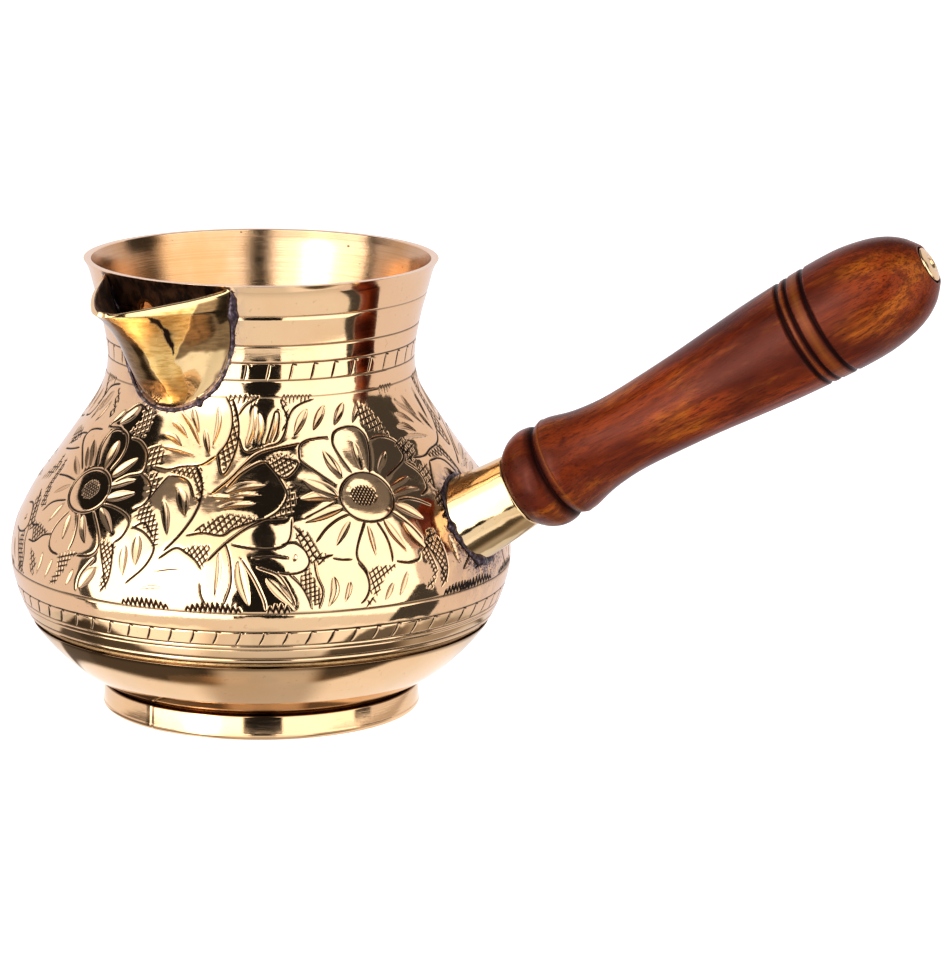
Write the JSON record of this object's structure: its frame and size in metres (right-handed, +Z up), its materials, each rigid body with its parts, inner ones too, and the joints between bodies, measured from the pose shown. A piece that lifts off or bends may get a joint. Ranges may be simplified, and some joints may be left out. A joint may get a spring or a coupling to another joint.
{
  "type": "turkish coffee pot",
  "caption": "Brass coffee pot (cezve) with a waisted engraved body on a low foot, a folded pouring spout over pierced holes, and a turned wooden handle on a brass socket.",
  "frame": {"origin": "on the pot's axis, in the plane that its foot stands on", "axes": "+Z up along the pot's axis, +X towards the handle, which rises at 31.7 degrees and stands 7 mm off the pot's axis on the spout's side; the spout points to -107 degrees from +X, clockwise seen from above"},
  "size_m": [0.2109, 0.1126, 0.1151],
  "materials": {
    "engraved_brass": "polished outside with dark-filled engraving, satin lathe-brushed inside",
    "bowl_brass": "polished, fine turning lines round the axis",
    "fitting_brass": "hand-polished, yellower than the body",
    "brazing_metal": "dull, in the groove",
    "dark_solder": "rough, dark grey-violet with bright spots",
    "rod_steel": "plain drawn",
    "varnished_wood": "stained red-brown, glossy varnish, three burnt grooves"
  },
  "bodies": {
    "root": {"upper_body": "engraved_brass", "lower_bowl": "bowl_brass", "body_braze": "brazing_metal", "foot_ring": "bowl_brass", "spout": "fitting_brass", "spout_solder": "dark_solder", "handle_socket": "fitting_brass", "socket_solder": "dark_solder", "anchor_plug": "fitting_brass", "tie_rod": "rod_steel", "wooden_grip": "varnished_wood", "end_nut": "fitting_brass"}
  },
  "joints": []
}
